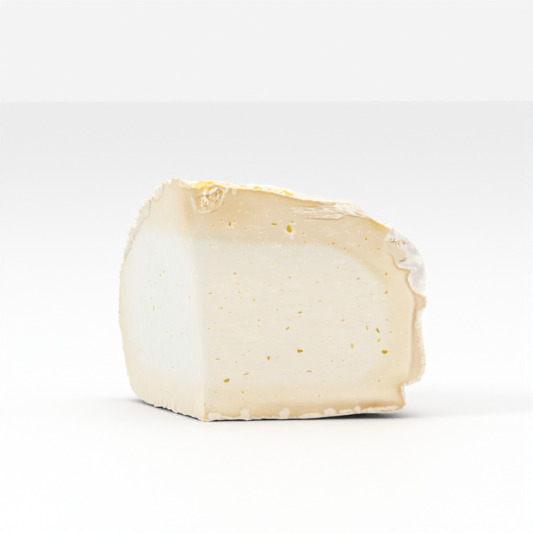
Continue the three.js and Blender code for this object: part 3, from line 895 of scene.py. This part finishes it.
def joinPortion():
    # one closed mesh from the rind and both cut faces
    reliefs = {side: cutRelief(cut) for side, cut in cuts.items()}
    names = sorted(set(rindLooks) | set(reliefs["left"][2]))
    looks = {name: [rindLooks.get(name, np.zeros(len(rindVerts)))] for name in names}
    verts, faces = [rindVerts], [rindFaces]
    start = len(rindVerts)
    ringSize = len(ends["right"]["ids"])
    edgeIds = range(start, start + cuts["right"]["loopSize"] - ringSize)  # added with the right-hand cut
    bisector = drum["wedgeAngle"] / 2
    inward = np.array([math.cos(bisector), math.sin(bisector), 0])
    for side, cut in cuts.items():
        push, edge, look = reliefs[side]
        known, angle = cut["known"], cut["angle"]
        out = np.array([0, -1, 0]) if side == "right" else np.array([-math.sin(angle), math.cos(angle), 0])
        shift = push[:, None] * out + (edge * paste["edgeSetBack"])[:, None] * inward
        points = place(cut["flat"][:, 0], angle, cut["flat"][:, 1]) + shift
        border = np.array([*ends[side]["ids"], *(edgeIds if side == "left" else ())])
        ids = np.where(known < len(border), border[np.minimum(known, len(border) - 1)], -1)
        fresh = np.flatnonzero(ids < 0)
        fresh = fresh[np.argsort(np.minimum(known[fresh], cut["loopSize"]), kind="stable")]
        ids[fresh] = start + np.arange(len(fresh))
        start += len(fresh)
        verts.append(points[fresh])
        for name in names:
            looks[name].append(look.get(name, np.zeros(len(points)))[fresh])
        onRind = known < ringSize
        verts[0][ids[onRind]] += shift[onRind]
        faces.append(ids[cut["faces"]] if side == "right" else ids[cut["faces"]][:, ::-1])
    return np.vstack(verts), np.vstack(faces), {name: np.concatenate(parts) for name, parts in looks.items()}


portionVerts, portionFaces, portionLooks = joinPortion()
mesh = bpy.data.meshes.new("cheesePortion")
mesh.from_pydata((portionVerts * mm).tolist(), [], portionFaces.tolist())
onRind = np.arange(len(portionFaces)) < len(rindFaces)
mesh.polygons.foreach_set("material_index", onRind.astype(np.int32))
mesh.validate()
for name, values in portionLooks.items():
    layer = mesh.attributes.new(name, "FLOAT", "POINT")
    layer.data.foreach_set("value", np.asarray(values, np.float32))
mesh.shade_smooth()
mesh.set_sharp_from_angle(angle=math.radians(52))
portion = bpy.data.objects.new("cheesePortion", mesh)
bpy.context.scene.collection.objects.link(portion)
print(f"portion: {len(portionVerts)} points, {len(portionFaces)} triangles")


# Materials

def linear(hexColour):
    parts = [int(hexColour[k:k + 2], 16) / 255 for k in (1, 3, 5)]
    return tuple(c / 12.92 if c <= 0.04045 else ((c + 0.055) / 1.055) ** 2.4 for c in parts) + (1.0,)


def addNode(tree, kind, settings=None, links=None):
    node = tree.nodes.new("ShaderNode" + kind)
    for key, value in (settings or {}).items():
        if isinstance(key, str) and hasattr(node, key):
            setattr(node, key, value)
        else:
            node.inputs[key].default_value = value
    for key, source in (links or {}).items():
        tree.links.new(source, node.inputs[key])
    return node


def startMaterial(name, look):
    # an empty material, with what its mesh and its patterns give at each point
    material = bpy.data.materials.new(name)
    material.use_nodes = True
    tree = material.node_tree
    tree.nodes.clear()
    coords = addNode(tree, "TexCoord").outputs["Object"]
    values = {}
    for key in look["reads"]:
        values[key] = addNode(tree, "Attribute", {"attribute_name": key}).outputs["Fac"]
    for key, (size, detail, roughness, *stretch) in look["patterns"].items():
        where = coords
        if stretch:
            where = addNode(tree, "Mapping", {"Scale": stretch[0]}, {"Vector": coords}).outputs[0]
        noise = {"Scale": 1 / (size * mm), "Detail": detail, "Roughness": roughness}
        values[key] = addNode(tree, "TexNoise", noise, {"Vector": where}).outputs["Fac"]
    return material, tree, values


def finishMaterial(tree, look, values, height):
    # the look's colours laid over each other by their shares, over a fine bump
    for key, (source, *span) in look["shares"].items():
        span = (*span, 0, 1) if len(span) == 2 else span
        settings = dict(zip(("From Min", "From Max", "To Min", "To Max"), span))
        values[key] = addNode(tree, "MapRange", settings, {"Value": values[source]}).outputs[0]
    tints = {}
    for key, colour in look["colours"].items():
        tints[key] = addNode(tree, "RGB").outputs[0]
        tints[key].default_value = linear(colour)
    for made, base, *layers in look["mixes"]:
        colour = tints[base]
        for share, over in layers:
            sockets = {0: values[share], 6: colour, 7: tints[over]}
            colour = addNode(tree, "Mix", {"data_type": "RGBA"}, sockets).outputs[2]
        tints[made] = colour
    bump = addNode(tree, "Bump", look["bump"], {"Height": height})
    links = {"Normal": bump.outputs["Normal"]}
    if "body" in tints:
        links["Base Color"] = tints["body"]
    shader = addNode(tree, "BsdfPrincipled", look["shader"], links)
    addNode(tree, "OutputMaterial", None, {"Surface": shader.outputs[0]})


# Yellow mould, grown and dried on the crown: it goes from orange to nearly white within a millimetre or two
mould = {
    "colours": {"mould": "#ffd314", "mouldOld": "#f8b408", "mouldYoung": "#fff2b8"},
    "mottle": (1.02, 3, 0.6),
    "shares": {"old": ("mottle", 0.42, 0.34), "young": ("mottle", 0.58, 0.66)},
    "mix": ("mouldTone", "mould", ("old", "mouldOld"), ("young", "mouldYoung")),
}

# Ripened curd, cut with a knife: moist, faintly translucent, chalky and paler in the core
curd = {
    "reads": ("coreGap", "high", "chalk", "ripe", "line", "slip", "section", "eye", "torn", "rim", "crumple",
              "crease", "smear", "streak", "mould", "pale", "band"),
    "patterns": {  # width in millimetres, detail, roughness, stretch
        "cloud": (4.55, 4, 0.6),  # the paste is clouded a few millimetres across
        "dragRight": (0.87, 4, 0.62, (0.24, 0.24, 1.0)),  # drag lines of the knife, level on the right
        "dragLeft": (0.87, 4, 0.62, (0.8, 0.8, 0.2)),  # and upright on the left
        "fleck": (1.92, 3, 0.6),  # white flecks of curd
        "grain": (0.385, 3, 0.55),  # curd grains, fine enough to show only in the sheen
        "mottle": mould["mottle"],
    },
    "shares": {  # what it reads, from, to, and least and most where not 0 and 1
        "outside": ("gap", 0.3, 1.9), "beyond": ("gap", 1.8, 4.4, 0.25, 1), "faint": ("gap", -0.4, 5.7),
        # light and dark: the knife's drag streaks, painted paler on the crests and darker in the furrows that
        # the bump raises from the same pattern, so partly painted highlight and shade
        "light": ("drag", 0.57, 0.74, 0, 0.45), "dark": ("drag", 0.44, 0.27, 0, 0.3),
        "flecks": ("fleck", 0.61, 0.72, 0, 0.6), "hole": ("eye", 0.0, 0.7), "deep": ("eye", 0.55, 1.0),
        "creaseMid": ("crease", 0.05, 0.45), "creaseLit": ("crease", 0.45, 0.75), **mould["shares"],
    },
    "colours": {
        # the left-hand cut's core and cream are cooler, paler copies of the paste: painted light of the cool
        # key lamp from the left
        "core": "#f0e8d8", "coreHighShaded": "#e7e0d0", "leftCoreCoolLit": "#e9e9e3", "leftCreamCoolLit": "#e8dfca",
        "creamLow": "#f4e6ca", "creamHigh": "#e9d7ba", "ringLow": "#eee1c6", "ringHigh": "#e3d4b4",
        "ripe": "#e4c487", "line": "#d3a460", "slip": "#ebd8be", "pale": "#f8f0e2", "section": "#f4ecde",
        "band": "#e6e0d2", "eye": "#f8e7a4", "eyeDeep": "#e2b60c", "torn": "#edcc90", "rim": "#f3e8d2",
        # the crumple's darkest and palest tones are painted shade in its furrows and painted highlight on its
        # crests
        "crumpleShadedLow": "#d0a058", "crumpleMid": "#f5da98", "crumpleLitHigh": "#fffbf2",
        "smearLow": "#e2c9a5", "smearHigh": "#fdf7ea", **mould["colours"],
    },
    "mixes": [  # colour made, its base, then each share and the colour that it lays on
        mould["mix"],
        ("ring", "ringLow", ("high", "ringHigh")), ("cream", "creamLow", ("high", "creamHigh")),
        # the right-hand core is painted darker higher up, as painted shade for the lesser bounce light from
        # the floor
        ("around", "ring", ("beyond", "cream")), ("right", "core", ("high", "coreHighShaded")),
        ("left", "leftCoreCoolLit", ("faint", "leftCreamCoolLit")), ("eyeTone", "eye", ("deep", "eyeDeep")),
        ("crumpled", "crumpleShadedLow", ("creaseMid", "crumpleMid"), ("creaseLit", "crumpleLitHigh")),
        ("smeared", "smearLow", ("streak", "smearHigh")),
        ("body", "right", ("outside", "around"), ("chalk", "left"), ("light", "pale"), ("dark", "ringHigh"),
         ("flecks", "pale"), ("slip", "slip"), ("ripe", "ripe"), ("line", "line"), ("pale", "pale"),
         ("hole", "eyeTone"), ("torn", "torn"), ("rim", "rim"), ("crumple", "crumpled"), ("smear", "smeared"),
         ("band", "band"), ("section", "section"), ("mould", "mouldTone")),
    ],
    "bump": {"Strength": 0.4, "Distance": 0.12 * mm},
    "shader": {"Roughness": 0.5, "IOR": 1.42, "Subsurface Weight": 0.3,
               "Subsurface Radius": (1.0, 0.72, 0.42), "Subsurface Scale": 1.2 * mm},
}


def makePaste():
    material, tree, values = startMaterial("ripenedCurd.knifeCut", curd)
    gap = {0: values["cloud"], 2: values["coreGap"]}
    values["gap"] = addNode(tree, "Math", {"operation": "MULTIPLY_ADD", 1: 2.4}, gap).outputs[0]
    drag = {0: values["chalk"], 2: values["dragRight"], 3: values["dragLeft"]}
    values["drag"] = addNode(tree, "Mix", None, drag).outputs[0]
    height = addNode(tree, "Math", {"operation": "ADD"}, {0: values["drag"], 1: values["grain"]})
    finishMaterial(tree, curd, values, height.outputs[0])
    return material


# Bloomy rind, grown and dried in a cellar: powdery white, matte, yellow where it is oldest; its underside is
# painted dark grey-brown as shade
bloom = {
    "reads": ("fold", "crevice", "under", "grey", "mould", "bare", "scuff", "spotted"),
    "patterns": {  # width in millimetres, detail, roughness
        "patches": (10.5, 5, 0.62),  # older, greyer bloom
        "spots": (5.26, 4, 0.7),  # yellow spots on the crown
        "speck": (0.588, 2, 0.5),  # the scuffed rind by the shoulder
        "fuzz": (0.588, 4, 0.65),  # powder, drawn coarse enough to show
        "mottle": mould["mottle"],
    },
    "shares": {
        "aged": ("patches", 0.43, 0.31), "hollows": ("fold", 0.55, 0.0), "yellowed": ("spots", 0.55, 0.63),
        "scuffed": ("speck", 0.58, 0.48), "scuffedDeep": ("speck", 0.44, 0.36), **mould["shares"],
    },
    "colours": {
        "white": "#faf7f1", "hollow": "#f3ecdf", "mauve": "#dfd6d2", "yellow": "#ffd83a", "bare": "#ead9be",
        "scuffDark": "#c48f42", "scuffMid": "#ead6b4", "crevice": "#bd8838", "under": "#5f574c",
        # the underside's dark grey-brown is painted shade for the gap under the portion
        **mould["colours"],
    },
    "mixes": [
        mould["mix"],
        ("specks", "white", ("scuffed", "scuffMid"), ("scuffedDeep", "scuffDark")),
        ("bloomed", "white", ("hollows", "hollow"), ("aged", "mauve")),
        ("yellowSpots", "bloomed", ("yellowed", "yellow")),
        ("body", "bloomed", ("spotted", "yellowSpots"), ("grey", "mauve"), ("mould", "mouldTone"),
         ("scuff", "specks"), ("bare", "bare"), ("crevice", "crevice"), ("under", "under")),
    ],
    "bump": {"Strength": 0.5, "Distance": 0.2 * mm},
    "shader": {"Roughness": 0.88, "IOR": 1.4, "Subsurface Weight": 0.15,
               "Subsurface Radius": (1.0, 0.8, 0.6), "Subsurface Scale": 1.0 * mm,
               "Sheen Weight": 0.15, "Sheen Roughness": 0.6},
}


def makeRind():
    material, tree, values = startMaterial("bloomyRind.cellarDried", bloom)
    finishMaterial(tree, bloom, values, values["fuzz"])
    return material


mesh.materials.append(makePaste())
mesh.materials.append(makeRind())
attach(portion, "root")
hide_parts("cheese_wedge")
print("materials and ties done")


# Floor, light and camera

# Painted board, sprayed: an even off-white with the faintest grain
board = {
    "reads": (), "patterns": {"grain": (16.7, 3, 0.5)}, "shares": {}, "colours": {}, "mixes": [],
    "bump": {"Strength": 0.04, "Distance": 0.4 * mm},
    "shader": {"Base Color": linear("#f6f6f6"), "Roughness": 0.5},
}

studio = {
    "floorSize": 12.0, "air": "#f3f3f3", "airStrength": 1.0,
    "focalPixels": 3012, "pictureWidth": 533, "sensor": 36,
    "cameraAt": (-118.7, -837.0, 98.2), "pitch": 3.95, "turn": 8.0,
    "aim": (0, 0, 0.03),
    "lights": [  # name, place, size, watts, colour
        ("keyLeft", (-1.05, -0.35, 0.85), 0.5, 2.9, "#f4f8ff"),
        ("overhead", (0.1, 0.15, 1.5), 0.9, 2.6, "#ffffff"),
        ("fillRight", (1.1, -0.1, 0.55), 0.6, 0.6, "#ffffff"),
    ],
}


def buildStudio():
    scene = bpy.context.scene
    half = studio["floorSize"] / 2
    floorMesh = bpy.data.meshes.new("floor")
    corners = [(x * half, y * half, 0) for x, y in ((-1, -1), (1, -1), (1, 1), (-1, 1))]
    floorMesh.from_pydata(corners, [], [(0, 1, 2, 3)])
    floor = bpy.data.objects.new("floor", floorMesh)
    scene.collection.objects.link(floor)
    material, tree, values = startMaterial("paintedBoard.sprayed", board)
    finishMaterial(tree, board, values, values["grain"])
    floorMesh.materials.append(material)

    scene.world = bpy.data.worlds.new("studioAir")
    scene.world.use_nodes = True
    background = scene.world.node_tree.nodes["Background"]
    background.inputs["Color"].default_value = linear(studio["air"])
    background.inputs["Strength"].default_value = studio["airStrength"]
    for name, at, size, watts, colour in studio["lights"]:
        light = bpy.data.lights.new(name, "AREA")
        light.shape, light.size, light.energy = "DISK", size, watts
        light.color = linear(colour)[:3]
        lamp = bpy.data.objects.new(name, light)
        lamp.location = at
        lamp.rotation_euler = (Vector(studio["aim"]) - Vector(at)).to_track_quat("-Z", "Y").to_euler()
        scene.collection.objects.link(lamp)

    lensData = bpy.data.cameras.new("camera")
    lensData.sensor_width = studio["sensor"]
    lensData.lens = studio["focalPixels"] / studio["pictureWidth"] * studio["sensor"]
    camera = bpy.data.objects.new("camera", lensData)
    camera.location = Vector(studio["cameraAt"]) * mm
    camera.rotation_euler = (math.radians(90 - studio["pitch"]), 0, math.radians(-studio["turn"]))
    scene.collection.objects.link(camera)
    scene.camera = camera
    scene.view_settings.view_transform = "Standard"


buildStudio()
print("studio ready")
